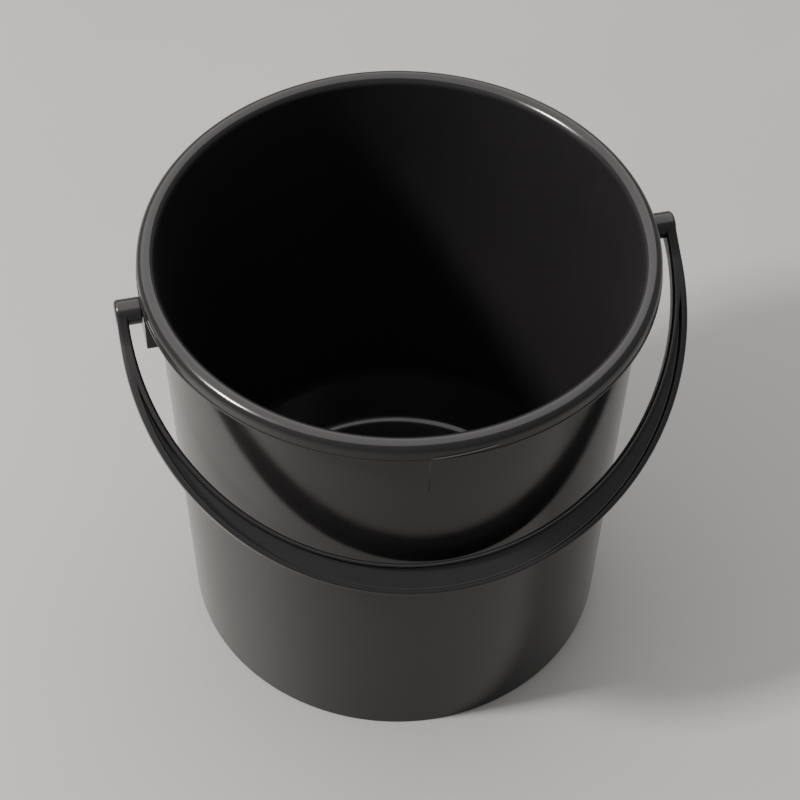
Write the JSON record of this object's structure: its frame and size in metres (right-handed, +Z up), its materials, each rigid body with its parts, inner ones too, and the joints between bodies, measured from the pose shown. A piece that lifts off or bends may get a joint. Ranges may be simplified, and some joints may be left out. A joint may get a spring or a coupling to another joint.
{
  "type": "bucket",
  "caption": "Tapered moulded bucket with a rolled rim and a moulded bail handle that swings over the mouth, for cut flowers, water and supplies.",
  "frame": {"origin": "centre of the base, on the surface that the bucket stands on", "axes": "+Z up along the bucket's axis, X along the bail's pivot axis, the bail hangs on the -Y side at rest"},
  "size_m": [0.2892, 0.2702, 0.2607],
  "materials": {
    "bucket_plastic": "black injection-moulded polypropylene, semi-gloss",
    "bail_plastic": "black injection-moulded polypropylene, semi-gloss"
  },
  "bodies": {
    "bucket": {"bucket": "bucket_plastic"},
    "bail": {"bail_handle": "bail_plastic"}
  },
  "joints": [
    {"name": "bail_swing", "type": "hinge", "parent": "bucket", "child": "bail", "pos_m": [0, 0, 0.2432], "axis": [-1, 0, 0], "range_deg": [0, 249]}
  ]
}
